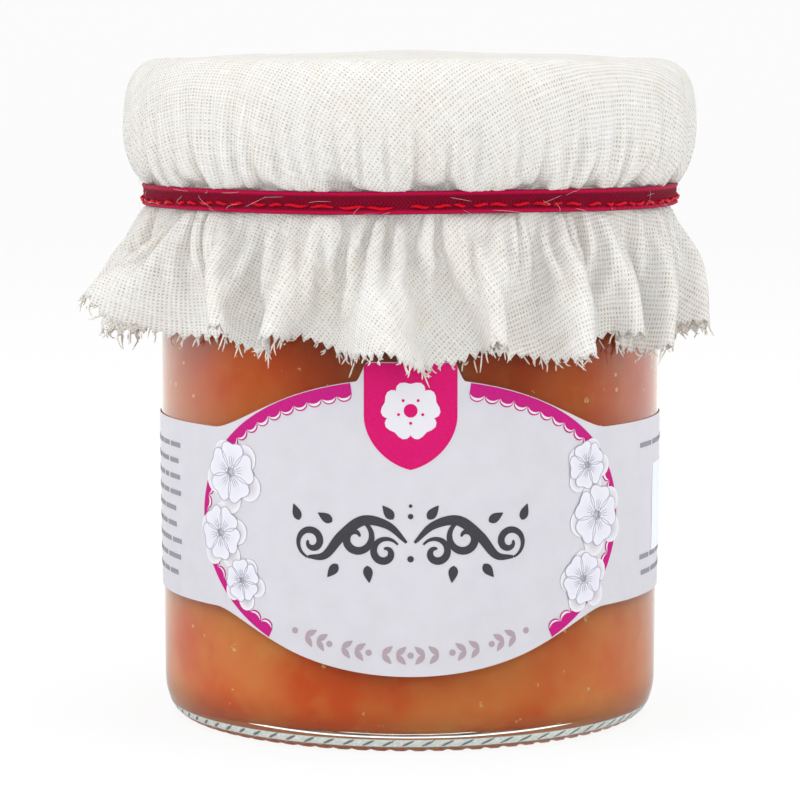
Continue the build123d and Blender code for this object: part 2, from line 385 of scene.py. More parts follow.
def stitching_thread():
    """Bright red polyester thread: smooth, twisted, with a small sheen."""
    made, tree = material("red_thread")
    twist = noise(tree, in_mm(tree), 2.5, 2.0)
    colour = blend(tree, twist, linear("#B20014"), linear("#D00420"))
    thread = add(
        tree, "ShaderNodeBsdfPrincipled",
        {"Base Color": colour, "Roughness": 0.5, "Specular IOR Level": 0.1},
    )
    finish_material(tree, thread.outputs[0])
    return made


# ---------------------------------------------------------------- mesh helpers

def grid_faces(rows, columns, wrap_rows=False, wrap_columns=False):
    """Quads of a grid whose points are numbered row by row."""
    r = np.arange(rows if wrap_rows else rows - 1)
    c = np.arange(columns if wrap_columns else columns - 1)
    r0, c0 = np.meshgrid(r, c, indexing="ij")
    r1, c1 = (r0 + 1) % rows, (c0 + 1) % columns
    quads = np.stack([r0 * columns + c0, r0 * columns + c1, r1 * columns + c1, r1 * columns + c0], -1)
    return quads.reshape(-1, 4)


def round_jar(radius, height, angle):
    """Points from radius, height and angle round the jar."""
    return np.stack([radius * np.sin(angle), -radius * np.cos(angle), height + 0 * angle], -1)


def piece(name, points, faces, finish, fade=None, smooth_to=50):
    """A closed mesh piece on the jar. Points that meet are merged."""
    mesh = bpy.data.meshes.new(name)
    mesh.from_pydata((np.asarray(points).reshape(-1, 3) * MM).tolist(), [], np.asarray(faces).tolist())
    if fade is not None:
        layer = mesh.attributes.new("fade", "FLOAT", "POINT")
        layer.data.foreach_set("value", np.asarray(fade, dtype=np.float32).ravel())
    shape = bmesh.new()
    shape.from_mesh(mesh)
    bmesh.ops.remove_doubles(shape, verts=shape.verts, dist=2e-7)
    bmesh.ops.recalc_face_normals(shape, faces=shape.faces)
    shape.to_mesh(mesh)
    shape.free()
    mesh.shade_smooth()
    mesh.set_sharp_from_angle(angle=math.radians(smooth_to))
    made = bpy.data.objects.new(name, mesh)
    bpy.context.scene.collection.objects.link(made)
    mesh.materials.append(finish)
    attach(made, "root")
    return made


def arc(centre, across, up, start, end, steps):
    """Points (radius, height) on an ellipse's arc, angles in degrees from +radius."""
    angles = np.radians(np.linspace(start, end, steps))
    return [(centre[0] + across * math.cos(a), centre[1] + up * math.sin(a)) for a in angles]


def lathe(name, profile, sectors, finish, shape=None, ring=False, fade=None):
    """Solid of revolution. shape(radius, height, angle) may carve the turned surface."""
    radius, height = np.array(profile, float).T[:, :, None]
    angle = np.arange(sectors)[None, :] * 2 * math.pi / sectors
    radius, height = radius + 0 * angle, height + 0 * angle
    if callable(fade):
        fade = fade(radius, height, angle)
    elif fade is not None:
        fade = np.repeat(np.asarray(fade, float)[:, None], sectors, 1)
    if shape:
        radius, height = shape(radius, height, angle)
    faces = grid_faces(len(profile), sectors, wrap_rows=ring, wrap_columns=True)
    return piece(name, round_jar(radius, height, angle), faces, finish, fade)


def tubes(name, paths, half_width, finish, sides=4):
    """Thin closed tubes along lists of points, each tapering to its ends."""
    points, faces = [], []
    for path in paths:
        path = np.asarray(path, float)
        along = np.gradient(path, axis=0)
        along /= np.linalg.norm(along, axis=1)[:, None] + 1e-9
        side = np.cross(along, np.array([0.31, 0.22, 0.93]))
        side /= np.linalg.norm(side, axis=1)[:, None] + 1e-9
        up = np.cross(along, side)
        taper = half_width * (1 - 0.6 * np.abs(np.linspace(-1, 1, len(path))) ** 3)
        turn = np.arange(sides) * 2 * math.pi / sides
        rings = path[:, None] + taper[:, None, None] * (
            np.cos(turn)[None, :, None] * side[:, None] + np.sin(turn)[None, :, None] * up[:, None]
        )
        start = sum(len(p) for p in points)
        quads = grid_faces(len(path), sides, wrap_columns=True) + start
        points.append(rings.reshape(-1, 3))
        faces += quads.tolist()
        faces.append(list(range(start, start + sides)))
        last = start + (len(path) - 1) * sides
        faces.append(list(range(last + sides - 1, last - 1, -1)))
    mesh_points = np.concatenate(points)
    mesh = bpy.data.meshes.new(name)
    mesh.from_pydata((mesh_points * MM).tolist(), [], faces)
    shape = bmesh.new()
    shape.from_mesh(mesh)
    bmesh.ops.recalc_face_normals(shape, faces=shape.faces)
    shape.to_mesh(mesh)
    shape.free()
    mesh.shade_smooth()
    made = bpy.data.objects.new(name, mesh)
    bpy.context.scene.collection.objects.link(made)
    mesh.materials.append(finish)
    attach(made, "root")
    return made


# ---------------------------------------------------------------- glass and jam

notch_count = 78            # slanted grip notches moulded round the foot
notch_depth = 0.4
notch_slant = 1.1           # turns of a notch pitch over the notched height
notch_top = 2.0


def inside_profile(grow=0.0):
    """Inside of the glass from the middle of the floor out to the shoulder."""
    edge = inner_radius - floor_corner
    floor = [(edge * t, floor_level + push_up * (1 - t * t) - grow) for t in np.linspace(0, 0.96, 9)]
    corner = arc((edge, floor_level + floor_corner), floor_corner + grow, floor_corner + grow, 270, 360, 10)
    return floor + corner


def foot_notches(radius, height, angle):
    """Slanted crescent notches round the foot and the lower heel."""
    outside = (radius > foot_radius - heel_reach - foot_width - 0.1) & (height < notch_top)
    phase = angle * notch_count / (2 * math.pi) + notch_slant * height / notch_top
    crescent = np.clip(np.cos(2 * math.pi * phase), 0, 1) ** 0.8
    window = np.clip(1 - height / notch_top, 0, 1) ** 0.5
    cut = notch_depth * crescent * window * outside
    return radius - cut, height + 0.35 * cut


def make_glass(finish):
    foot_outer = foot_radius - heel_reach
    foot_inner = foot_outer - foot_width
    under = [(foot_inner * t, push_up * (1 - t * t)) for t in np.linspace(0, 1, 10)]
    foot = [(foot_inner + foot_width * t, 0) for t in (0.3, 0.65)]
    heel = arc((foot_outer, heel_rise), heel_reach, heel_rise, 270, 360, 26)
    side = [(foot_radius + wall_draft * t, heel_rise + (draft_top - heel_rise) * t) for t in (0.25, 0.5, 0.75, 1)]
    upper = [(body_radius, shoulder_height - 20), (body_radius, shoulder_height - 0.8)]
    neck_start = shoulder_height + shoulder_rise
    neck = [(body_radius - 0.25, shoulder_height), (neck_radius, neck_start), (neck_radius, jar_height - 7.3)]
    bead = arc((neck_radius, jar_height - 6.2), 1.1, 1.1, -90, 90, 7)
    rim_out = arc((neck_radius - rim_round, jar_height - rim_round), rim_round, rim_round, 0, 90, 5)
    mouth = neck_radius - neck_wall
    rim_in = arc((mouth + rim_round, jar_height - rim_round), rim_round, rim_round, 90, 180, 5)
    inside = [(mouth, neck_start), (inner_radius, shoulder_height)]
    outline = under + foot + heel + side + upper + neck + bead + rim_out + rim_in + inside
    outline += inside_profile()[::-1]
    made = lathe("glass_wall", outline, notch_count * 9, finish, foot_notches)
    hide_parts("glass_jar")


def stippled_glass():
    """The knurled, scuffed foot of the jar: glass rough enough to scatter, pale, with painted shade for dark grooves.
    fade runs from 0, painted shade in a groove or along the ring's edge, to 1 on the land between."""
    made, tree = material("stippled_glass")
    fade = add(tree, "ShaderNodeAttribute", attribute_name="fade").outputs["Fac"]
    scuff = noise(tree, in_mm(tree), 1.6, 3.0, 0.7)
    colour = blend(tree, step_up(tree, scuff, 0.4, 0.7), linear("#E0ECE6"), linear("#FAFEFC"))
    # painted shade: dark in the grooves and along the ring's edges
    colour = blend(tree, fade, linear("#3A443E"), colour)
    rough = add(tree, "ShaderNodeBsdfPrincipled", {"Base Color": colour, "Roughness": 0.25, "IOR": 1.52})
    through = add(tree, "ShaderNodeBsdfTranslucent", {"Color": colour})
    shader = add(tree, "ShaderNodeMixShader", {0: 0.3, 1: rough.outputs[0], 2: through.outputs[0]})
    finish_material(tree, shader.outputs[0])
    return made


stipple_low = 0.95
stipple_high = 2.3


def make_foot_stipple(finish):
    """Stippled ring on the foot with a slanted lens-shaped groove at each notch, painted as dark shade, and painted
    shade along its top and bottom edges.
    """
    heights = np.linspace(stipple_low, stipple_high, 12)
    reach = foot_radius - heel_reach + heel_reach * np.sqrt(1 - (1 - heights / heel_rise) ** 2)
    loop = [(r + 0.03, h) for r, h in zip(reach, heights)]
    loop += [(r - 0.12, h) for r, h in zip(reach[::-1], heights[::-1])]

    # painted shade: the grooves are only coloured, the ring's surface stays smooth
    def grooves(radius, height, angle):
        level = (height - stipple_low) / (stipple_high - stipple_low)
        turn = angle * notch_count / (2 * math.pi) - 0.75 * level + 0.06 * np.sin(angle * 7)
        off = np.abs((turn % 1) - 0.5)
        lens = 0.16 * np.sqrt(np.clip(1 - ((level - 0.5) / 0.36) ** 2, 0, 1))
        groove = np.clip(1 - (off / np.maximum(lens, 0.01)) ** 2, 0, 1) ** 0.5
        # painted shade: a dark line along the ring's top and bottom edges
        edge = np.clip((level - 0.93) / 0.05, 0, 1) + np.clip((0.06 - level) / 0.05, 0, 1)
        return 1 - np.clip(groove * 0.85 + 0.6 * edge, 0, 1)

    lathe("foot_stipple", loop, notch_count * 14, finish, ring=True, fade=grooves)


def make_jam(finish):
    """The jam reaches a hair into the glass, so that no air shows between them."""
    into_glass = 0.06
    outline = inside_profile(into_glass)
    outline += [(inner_radius + into_glass, h) for h in np.linspace(floor_level + floor_corner + 6, jam_level, 8)]
    outline += [(inner_radius * t, jam_level - 0.4 * (1 - t)) for t in (0.8, 0.4, 0.0)]
    made = lathe("apricot_jam", outline, 192, finish)
    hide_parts("jam")


# ---------------------------------------------------------------- label and print

def wall_radius(height):
    rise = np.clip((height - heel_rise) / (draft_top - heel_rise), 0, 1)
    return foot_radius + wall_draft * rise


class Print:
    """Flat shapes on the wall, as thin closed solids wrapped round it.
    Places are (distance round the wall, height)."""

    def __init__(self, layer, thick=0.03):
        self.lift = paper_lift + paper_thick + 0.03 * layer
        self.thick = thick
        self.points, self.faces, self.fade = [], [], []
        self.count = 0

    def patch(self, along, height, fade=0.0, closed=False):
        """A grid of places. closed means that its columns meet and its first row is one point."""
        along, height = np.asarray(along, float), np.asarray(height, float)
        rows, columns = along.shape
        for lift in (self.lift + self.thick, self.lift):
            self.points.append(round_jar(wall_radius(height) + lift, height, along / body_radius).reshape(-1, 3))
            self.fade.append((np.zeros_like(along) + fade).ravel())
        top = grid_faces(rows, columns, wrap_columns=closed) + self.count
        under = top[:, ::-1] + rows * columns
        self.faces += top.tolist() + under.tolist()
        index = np.arange(rows * columns).reshape(rows, columns)
        if closed:
            rim = np.append(index[-1], index[-1][0])
        else:
            rim = np.concatenate([index[0, :-1], index[:-1, -1], index[-1, :0:-1], index[::-1, 0]])
        rim = rim + self.count
        for a, b in zip(rim, rim[1:]):
            self.faces.append([int(a), int(b), int(b + rows * columns), int(a + rows * columns)])
        self.count += 2 * rows * columns

    def blob(self, centre, outline, fade=(0.0, 0.0), rings=3):
        """A shape given by its outline round a centre. fade runs from centre to outline."""
        outline = np.asarray(outline, float)
        share = np.linspace(0, 1, rings)[:, None]
        along = centre[0] + share * (outline[:, 0] - centre[0])
        height = centre[1] + share * (outline[:, 1] - centre[1])
        self.patch(along, height, fade[0] + (fade[1] - fade[0]) * share, closed=True)

    def stroke(self, line, half_width, fade=0.0):
        """A pen stroke along a line of places, with a width at each."""
        line = np.asarray(line, float)
        ahead = np.gradient(line, axis=0)
        ahead /= np.linalg.norm(ahead, axis=1)[:, None] + 1e-9
        across = np.stack([-ahead[:, 1], ahead[:, 0]], 1) * np.asarray(half_width)[:, None]
        both = np.stack([line - across, line + across])
        self.patch(both[:, :, 0], both[:, :, 1], fade)

    def lay(self, name, slot, finish):
        return piece(name, np.concatenate(self.points), self.faces, finish, np.concatenate(self.fade), 40)


def label_top(along):
    """Upper edge of the paper above label_middle: the oval run into the band, and the tab."""
    oval = oval_half_height * np.sqrt(np.clip(1 - (along / oval_half_width) ** 2, 0, 1))
    strip = (strip_high - strip_low) / 2
    soft = np.clip(strip_join - np.abs(oval - strip), 0, None) / strip_join
    edge = np.maximum(oval, strip) + soft**2 * strip_join / 4
    return edge


def label_tab(along):
    """Rise of the tab above the oval: flat on top, with a quick S at each side."""
    side = np.clip((np.abs(along) - tab_half_width + 0.9) / 1.9, 0, 1)
    level = oval_half_height + tab_rise
    return (level - label_top(along)) * (1 - side * side * (3 - 2 * side))


def make_label(finish):
    paper = Print(0, paper_thick)
    paper.lift = paper_lift
    near_tab = np.linspace(6.2, 8.8, 14)
    along = np.concatenate([np.linspace(0, 6.0, 8), near_tab, np.arange(9.6, 45, 0.8), np.linspace(45, label_end, 60)])
    along = np.concatenate([-along[:0:-1], along])
    high = label_middle + label_top(along) + label_tab(along)
    low = label_middle - label_top(along)
    share = np.linspace(0, 1, 9)[:, None]
    paper.patch(along[None, :] + 0 * share, low + (high - low) * share)
    made = paper.lay("paper_label", "label", finish)
    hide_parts("label")


def oval_point(turn, inset):
    """Place on the oval at an angle from its top, moved inwards by inset."""
    place = np.stack([oval_half_width * np.sin(turn), oval_half_height * np.cos(turn)], -1)
    outward = np.stack([np.sin(turn) / oval_half_width, np.cos(turn) / oval_half_height], -1)
    outward /= np.linalg.norm(outward, axis=-1)[..., None]
    place = place - outward * np.asarray(inset)[..., None]
    return place[..., 0], label_middle + place[..., 1]


border_start = 0.25         # radians from the top of the oval, clear of the badge
border_end = 2.47
scallop_pitch = 2.5
scallop_depth = 1.2
border_top_width = 1.7
border_side_width = 0.8


def border_width(turn):
    return border_side_width + (border_top_width - border_side_width) * np.cos(turn) ** 2


def even_turns(start, end, spacing):
    """Angles on the oval that lie evenly along it, and how many steps fit."""
    fine = np.linspace(start, end, 600)
    along, height = oval_point(fine, 0 * fine)
    run = np.concatenate([[0], np.cumsum(np.hypot(np.diff(along), np.diff(height)))])
    steps = max(int(round(run[-1] / spacing)), 1)
    return fine, run, steps


def make_border(ink, white):
    """Scalloped border down both sides of the oval, with a pale crescent in each scallop."""
    band, crescents = Print(1), Print(2)
    for side in (-1, 1):
        fine, run, scallops = even_turns(border_start, border_end, scallop_pitch)
        part = np.linspace(0, scallops, scallops * 12 + 1)
        turn = np.interp(part / scallops * run[-1], run, fine)
        bow = np.sqrt(np.clip(1 - (2 * (part % 1) - 1) ** 2, 0, 1))
        width = border_width(turn)
        inner = width + scallop_depth * (0.12 + 0.88 * bow)
        rows = [oval_point(turn, 0.12 + 0 * turn), oval_point(turn, width * 0.6), oval_point(turn, inner)]
        band.patch(side * np.array([r[0] for r in rows]), np.array([r[1] for r in rows]))
        for k in range(scallops):
            reach = 0.42 + 0.06 * rng.random()
            local = np.linspace(-reach, reach, 9) + 0.03 * (rng.random() - 0.5)
            spot = np.interp((k + 0.5 + local) / scallops * run[-1], run, fine)
            sag = np.sqrt(np.clip(1 - (local / 0.5) ** 2, 0, 1))
            centre = border_width(spot) + scallop_depth * (0.88 * sag - 0.2)
            half = (0.1 + 0.08 * rng.random()) * np.sqrt(np.clip(1 - (local / reach) ** 2, 0, 1)) + 0.03
            upper, lower = oval_point(spot, centre - half), oval_point(spot, centre + half)
            crescents.patch(side * np.array([upper[0], lower[0]]), np.array([upper[1], lower[1]]))
    band.lay("scalloped_border", "label", ink)
    crescents.lay("border_crescents", "label", white)


badge_half_width = 7.05
badge_side = 8.0            # straight side of the badge, from the tab's top
badge_tip = 16.2            # from the tab's top down to the badge's point


def petal_ring(petals, size, spin=0.0, cleft=0.12, width=0.62):
    """Outlines of rounded petals round (0, 0), each with its centre."""
    shapes = []
    for k in range(petals):
        turn = spin + 2 * math.pi * k / petals
        t = np.linspace(0, 2 * math.pi, 20, endpoint=False)
        out = 0.5 + 0.5 * np.cos(t)
        reach = size * (0.12 + 0.88 * out - cleft * np.exp(-((np.sin(t) / 0.35) ** 2)) * (out > 0.5))
        across = size * width * np.sin(t) * (0.45 + 0.55 * out)
        x = reach * math.cos(turn) - across * math.sin(turn)
        y = reach * math.sin(turn) + across * math.cos(turn)
        shapes.append(((size * 0.55 * math.cos(turn), size * 0.55 * math.sin(turn)), np.stack([x, y], 1)))
    return shapes


def circle(centre, radius, steps=14):
    t = np.linspace(0, 2 * math.pi, steps, endpoint=False)
    return np.stack([centre[0] + radius * np.cos(t), centre[1] + radius * np.sin(t)], 1)


def make_badge(ink, white):
    """Magenta badge on the tab with a plain five-petalled blossom."""
    field = Print(1)
    across = np.sin(np.linspace(-1, 1, 49) * math.pi / 2)
    top = label_middle + oval_half_height + tab_rise - 0.12
    upper = top - 0.9 * (1 - np.sqrt(1 - np.clip((np.abs(across) - 0.86) / 0.14, 0, 1) ** 2))
    bow = 0.8 * np.sqrt(1 - across**2) + 0.2 * (1 - np.abs(across))
    lower = top - badge_side - (badge_tip - badge_side) * bow
    share = np.linspace(0, 1, 8)[:, None]
    field.patch(across[None, :] * badge_half_width + 0 * share, lower + (upper - lower) * share)
    field.lay("badge", "label", ink)
    flower = Print(2)
    middle = (0.0, top - 7.2)
    for centre, outline in petal_ring(5, 4.6, math.pi / 2):
        flower.blob((centre[0], middle[1] + centre[1]), outline + np.array(middle), rings=4)
    flower.lay("badge_blossom", "label", white)
    heart = Print(3)
    heart.blob(middle, circle(middle, 1.05))
    for k in range(5):
        turn = math.pi / 2 + 2 * math.pi * (k + 0.5) / 5
        spot = (1.9 * math.cos(turn), middle[1] + 1.9 * math.sin(turn))
        heart.blob(spot, circle(spot, 0.24, 8), rings=2)
    heart.lay("badge_heart", "label", ink)


def smooth_line(points, steps):
    """A smooth line through given points."""
    points = np.asarray(points, float)
    padded = np.concatenate([[2 * points[0] - points[1]], points, [2 * points[-1] - points[-2]]])
    line = []
    for k in range(len(points) - 1):
        a, b, c, d = padded[k:k + 4]
        t = np.linspace(0, 1, steps, endpoint=False)[:, None]
        line.append(0.5 * (2 * b + (c - a) * t + (2 * a - 5 * b + 4 * c - d) * t**2 + (3 * b - a - 3 * c + d) * t**3))
    line.append(points[-1:])
    return np.concatenate(line)


def curl(centre, start_radius, end_radius, start, turns, steps=60):
    """A spiral of places, angles in radians."""
    t = np.linspace(0, 1, steps)
    radius = start_radius + (end_radius - start_radius) * t
    angle = start + turns * 2 * math.pi * t
    return np.stack([centre[0] + radius * np.cos(angle), centre[1] + radius * np.sin(angle)], 1)


def pen(count, thin, thick, power=1.0):
    """Half widths along a pen stroke: thin at its ends, thick between."""
    return thin + (thick - thin) * np.sin(np.linspace(0, math.pi, count)) ** power


def make_scroll(ink):
    """Charcoal pen scroll across the middle of the label: curls and leaves, no letters."""
    art = Print(1)
    middle = 33.2
    for side in (-1, 1):
        def place(line):
            line = np.array(line, float)
            return np.stack([side * line[:, 0], middle + line[:, 1]], 1)
        stem = smooth_line([(0.6, -0.4), (3.4, 2.2), (7.2, 2.9), (10.6, 0.4), (13.2, -2.6), (16.0, -3.0)], 16)
        art.stroke(place(stem), pen(len(stem), 0.2, 0.8, 0.8))
        end = curl((15.4, -0.6), 2.5, 0.5, -1.3, 1.25)
        art.stroke(place(end), pen(len(end), 0.16, 0.55))
        upper = curl((8.3, 0.2), 2.9, 0.6, 1.5, 1.2)
        art.stroke(place(upper), pen(len(upper), 0.16, 0.62))
        lower = curl((3.9, -1.9), 2.3, 0.5, 2.6, -1.2)
        art.stroke(place(lower), pen(len(lower), 0.16, 0.58))
        for tip in ((2.6, 3.2, 0.9), (12.0, 2.6, 0.5), (11.2, -3.9, -0.9), (6.6, -4.0, -1.7), (17.4, 2.6, 1.2)):
            leaf = np.linspace(0, 1, 14)
            run = 2.6 * leaf
            line = np.stack([tip[0] + run * math.cos(tip[2]), tip[1] + run * math.sin(tip[2])], 1)
            art.stroke(place(line), 0.05 + 0.68 * np.sin(math.pi * leaf**0.7))
    for height in (3.6, 5.2):
        spot = (0.0, middle + height)
        art.blob(spot, circle(spot, 0.42 if height < 4 else 0.28, 12), rings=2)
    spot = (0.0, middle - 2.9)
    art.blob(spot, circle(spot, 0.5, 12), rings=2)
    art.lay("pen_scroll", "label", ink)


def make_garland(ink):
    """Grey-mauve row of small leaves and dots that follows the foot of the oval."""
    art = Print(1)
    for k in np.arange(-9, 10):
        turn = math.pi + k * 0.0615
        along, height = oval_point(np.array(turn), np.array(3.3))
        slope = -0.6 * math.sin(k * 0.0615)
        if k % 3 == 0:
            spot = (float(along), float(height))
            art.blob(spot, circle(spot, 0.5, 10), rings=2)
            continue
        for lean in (0.75, -0.75):
            share = np.linspace(0, 1, 10)
            way = slope + lean + (0 if k > 0 else math.pi)
            line = np.stack([along + 2.0 * share * math.cos(way), height + 2.0 * share * math.sin(way)], 1)
            art.stroke(line, 0.04 + 0.42 * np.sin(math.pi * share**0.8))
    art.lay("leaf_garland", "label", ink)


blossoms = (
    (-30.2, 42.2, 5.0, 0.2), (-32.6, 32.6, 4.5, 0.9), (-28.0, 25.6, 3.5, 0.5),
    (29.6, 43.4, 3.9, 0.7), (31.8, 35.4, 5.0, 0.1), (29.0, 25.8, 4.2, 1.1),
)


def make_blossoms(petal_ink, shade_ink, line_ink):
    """Pale apricot blossoms at both sides of the oval, with a soft grey shadow behind each."""
    shade, petals, lines = Print(3), Print(5), Print(6)
    for along, height, size, spin in blossoms:
        for k in range(5):
            turn = spin + 2 * math.pi * (k + 0.5) / 5
            spot = (along + 0.75 * size * math.cos(turn) + 0.35, height + 0.75 * size * math.sin(turn) - 0.5)
            shade.blob(spot, circle(spot, 0.44 * size, 18), fade=(0.0, 1.0), rings=5)
        for centre, outline in petal_ring(5, size, spin, width=0.6):
            spot = (along + centre[0], height + centre[1])
            petals.blob(spot, outline + np.array([along, height]), fade=(0.75, 1.0), rings=4)
            rim = np.concatenate([outline, outline[:1]]) + np.array([along, height])
            lines.stroke(rim, 0.055 + 0 * rim[:, 0])
            for bend in (-0.22, 0.0, 0.22):
                way = math.atan2(centre[1], centre[0]) + bend
                share = np.linspace(0.2, 0.5, 6)
                vein = np.stack([along + size * share * math.cos(way), height + size * share * math.sin(way)], 1)
                lines.stroke(vein, pen(6, 0.02, 0.06))
        for k in range(7):
            turn = 2 * math.pi * k / 7 + spin
            reach = size * (0.2 if k % 2 else 0.13)
            spot = (along + reach * math.cos(turn), height + reach * math.sin(turn))
            lines.stroke(circle(spot, 0.3, 9)[[*range(9), 0]], 0.05 + np.zeros(10))
    shade.lay("blossom_shadows", "label", shade_ink)
    petals.lay("blossom_petals", "label", petal_ink)
    lines.lay("blossom_lines", "label", line_ink)


def bar(art, start, end, height, thick):
    share = np.linspace(start, end, max(int(abs(end - start)), 2))
    art.patch(np.stack([share, share]), np.stack([share * 0 + height, share * 0 + height + thick]))


def make_side_print(grey, pale):
    """Plain grey bars where a label carries small print, and a pale panel, round the sides."""
    lines = Print(1)
    for side in (-1, 1):
        for row in range(9):
            height = 44.6 - 2.55 * row
            start = 44.5 + 3.0 * rng.random() * (row % 3 != 0)
            end = 84.0 - 12.0 * rng.random()
            if side > 0 and 1 <= row <= 6:
                start, end = 68.0, 88.0 - 10.0 * rng.random()
            at = start
            while at < end:
                word = 2.0 + 4.5 * rng.random()
                bar(lines, side * at, side * min(at + word, end), height, 0.75)
                at += word + 0.9
    lines.lay("small_print_bars", "label", grey)
    panel = Print(1)
    share = np.linspace(51.0, 66.0, 24)
    panel.patch(np.stack([share, share]), np.stack([share * 0 + 27.5, share * 0 + 41.5]))
    panel.lay("pale_panel", "label", pale)


# ---------------------------------------------------------------- cloth

turns = 576                 # points round the cloth
rings_free = 50             # rings that drape, from the lid's flat to the hem
cloth_rise = 1.1            # the cloth lies this far over the lid, on its own creases
cloth_dome = 1.0            # and slackly domes this much higher in the middle
inner_ring = 34.0           # flat radius inside which the cloth just lies on the lid
gather_count = (58, 86)     # folds at the band, least and most
flute_count = (15, 25)      # folds in the skirt
puff_count = (20, 46)       # folds in the puffed side


def wave(low, high, angle):
    """Uneven folds: a random mix of waves with low to high turns, between about -1 and 1."""
    counts = np.arange(low, high)
    size = rng.normal(size=len(counts))
    phase = rng.random(len(counts)) * 2 * math.pi
    mix = (size[:, None] * np.cos(counts[:, None] * angle[None, :] + phase[:, None])).sum(0)
    return mix / np.abs(mix).max()


def mean_path():
    """Side view of the cloth before its folds: flat top, squared edge, puffed side, waist, skirt."""
    top = lid_top + cloth_rise
    square = 2.9
    path = [(0.0, top), (flat_radius, top)]
    for t in np.linspace(0, math.pi / 2, 14)[1:]:
        path.append((
            flat_radius + (drum_radius - flat_radius) * math.sin(t) ** (2 / square),
            drum_height + (top - drum_height) * math.cos(t) ** (2 / square),
        ))
    waist = body_radius + 0.9
    for t in np.linspace(0, math.pi / 2, 12)[1:]:
        path.append((waist + (drum_radius - waist) * math.cos(t), drum_height + (band_high - drum_height) * math.sin(t)))
    path.append((waist, band_low))
    return np.array(path)


def relax(points, rest, row_step, turn_step, give, only_short=False):
    """Moves pairs of cloth points towards the distance they had when the cloth lay flat."""
    rows = points.shape[0] - row_step
    near = points[:rows]
    far = np.roll(points, -turn_step, axis=1)[row_step:]
    gap = far - near
    length = np.sqrt((gap * gap).sum(-1)) + 1e-9
    miss = 1 - rest / length
    if only_short:
        miss = np.minimum(miss, 0)
    move = gap * (give * miss)[..., None]
    points[:rows] += move
    points[row_step:] -= np.roll(move, turn_step, axis=1)


def flat_distance(flat, row_step, turn_step):
    far = np.roll(flat, -turn_step, axis=1)[row_step:]
    return np.sqrt(((far - flat[:flat.shape[0] - row_step]) ** 2).sum(-1))


